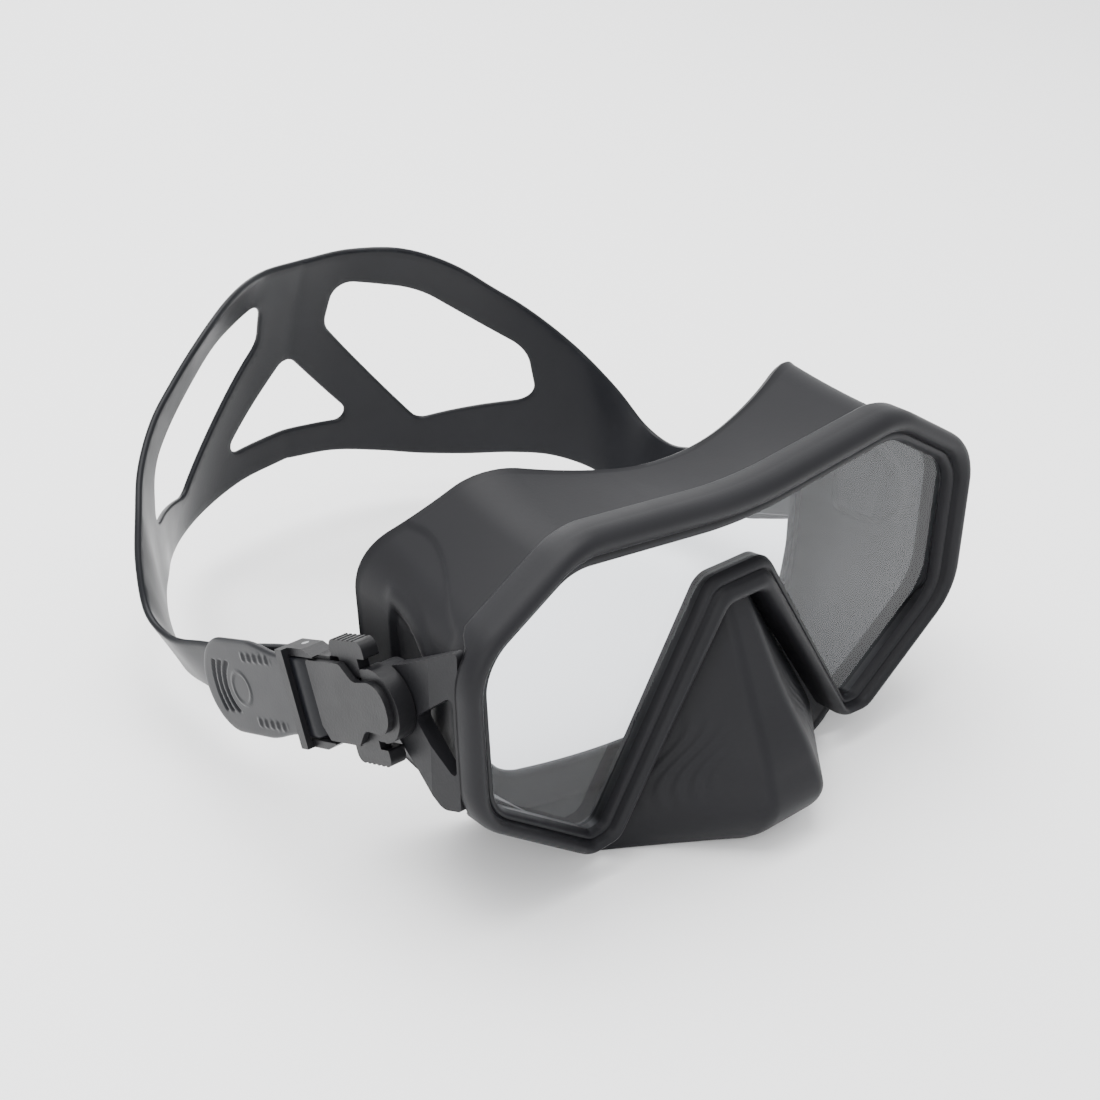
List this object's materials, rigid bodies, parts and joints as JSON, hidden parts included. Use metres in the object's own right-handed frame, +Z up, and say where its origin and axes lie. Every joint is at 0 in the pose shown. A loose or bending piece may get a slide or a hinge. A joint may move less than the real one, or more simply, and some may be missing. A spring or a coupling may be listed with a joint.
{
  "type": "diving mask",
  "caption": "Single-window diving mask with a nose pocket, silicone skirt and split head strap on swivelling pinch-button buckles.",
  "frame": {"origin": "centre of the bounding box's bottom face, which is the surface that the nose pocket and the skirt's cheeks rest on", "axes": "+X towards the wearer's left, +Y rearwards from the lens to the head strap, +Z up; the mask is mirror-symmetric about X = 0"},
  "size_m": [0.181, 0.2177, 0.0942],
  "materials": {
    "lens_glass": "clear tempered glass",
    "skirt_silicone": "matt black silicone",
    "strap_silicone": "satin black silicone",
    "frame_plastic": "fine matt grain",
    "buckle_plastic": "satin moulded",
    "steel": "satin"
  },
  "bodies": {
    "mask": {"lens": "lens_glass", "inner_frame": "frame_plastic", "skirt_rim": "skirt_silicone", "skirt_body": "skirt_silicone", "face_seal": "skirt_silicone", "nose_pocket": "skirt_silicone", "side_arm_left": "frame_plastic", "side_arm_right": "frame_plastic", "pivot_pin_left": "steel", "pivot_pin_right": "steel"},
    "strap_assembly": {"strap": "strap_silicone", "buckle_body_left": "buckle_plastic", "buckle_body_right": "buckle_plastic", "buckle_cover_left": "buckle_plastic", "buckle_cover_right": "buckle_plastic", "roller_axle_left": "steel", "roller_axle_right": "steel", "pawl_pin_left": "steel", "pawl_pin_right": "steel", "upper_spring_left": "steel", "upper_spring_right": "steel", "lower_spring_left": "steel", "lower_spring_right": "steel"},
    "upper_button_left": {"upper_button_left": "buckle_plastic"},
    "lower_button_left": {"lower_button_left": "buckle_plastic"},
    "strap_pawl_left": {"strap_pawl_left": "buckle_plastic"},
    "strap_roller_left": {"strap_roller_left": "buckle_plastic"},
    "upper_button_right": {"upper_button_right": "buckle_plastic"},
    "lower_button_right": {"lower_button_right": "buckle_plastic"},
    "strap_pawl_right": {"strap_pawl_right": "buckle_plastic"},
    "strap_roller_right": {"strap_roller_right": "buckle_plastic"}
  },
  "joints": [
    {"name": "strap_swing", "type": "hinge", "parent": "mask", "child": "strap_assembly", "pos_m": [0, -0.0623, 0.0535], "axis": [1, 0, 0], "range_deg": [-45, 90]},
    {"name": "upper_button_press_left", "type": "slide", "parent": "strap_assembly", "child": "upper_button_left", "axis": [0, -0.3584, -0.9336], "range_m": [0, 0.0018], "stiffness_N_per_m": 900, "springref_m": -0.0008, "deforming": ["upper_spring_left"]},
    {"name": "lower_button_press_left", "type": "slide", "parent": "strap_assembly", "child": "lower_button_left", "axis": [0, 0.3584, 0.9336], "range_m": [0, 0.0018], "stiffness_N_per_m": 900, "springref_m": -0.0008, "deforming": ["lower_spring_left"]},
    {"name": "strap_pawl_lift_left", "type": "hinge", "parent": "strap_assembly", "child": "strap_pawl_left", "pos_m": [0.0855, -0.044, 0.04648], "axis": [0, 0.3584, 0.9336], "range_deg": [0, 12.5]},
    {"name": "strap_roller_spin_left", "type": "hinge", "parent": "strap_assembly", "child": "strap_roller_left", "pos_m": [0.085, -0.03663, 0.04365], "axis": [0, 0.3584, 0.9336], "continuous": true},
    {"name": "upper_button_press_right", "type": "slide", "parent": "strap_assembly", "child": "upper_button_right", "axis": [0, -0.3584, -0.9336], "range_m": [0, 0.0018], "stiffness_N_per_m": 900, "springref_m": -0.0008, "deforming": ["upper_spring_right"]},
    {"name": "lower_button_press_right", "type": "slide", "parent": "strap_assembly", "child": "lower_button_right", "axis": [0, 0.3584, 0.9336], "range_m": [0, 0.0018], "stiffness_N_per_m": 900, "springref_m": -0.0008, "deforming": ["lower_spring_right"]},
    {"name": "strap_pawl_lift_right", "type": "hinge", "parent": "strap_assembly", "child": "strap_pawl_right", "pos_m": [-0.0855, -0.044, 0.04648], "axis": [0, -0.3584, -0.9336], "range_deg": [0, 12.5]},
    {"name": "strap_roller_spin_right", "type": "hinge", "parent": "strap_assembly", "child": "strap_roller_right", "pos_m": [-0.085, -0.03663, 0.04365], "axis": [0, 0.3584, 0.9336], "continuous": true}
  ],
  "couplings": [
    {"joint": "strap_pawl_lift_left", "follows": "upper_button_press_left", "rad_per_m": 116.36},
    {"joint": "strap_pawl_lift_right", "follows": "upper_button_press_right", "rad_per_m": 116.36}
  ]
}
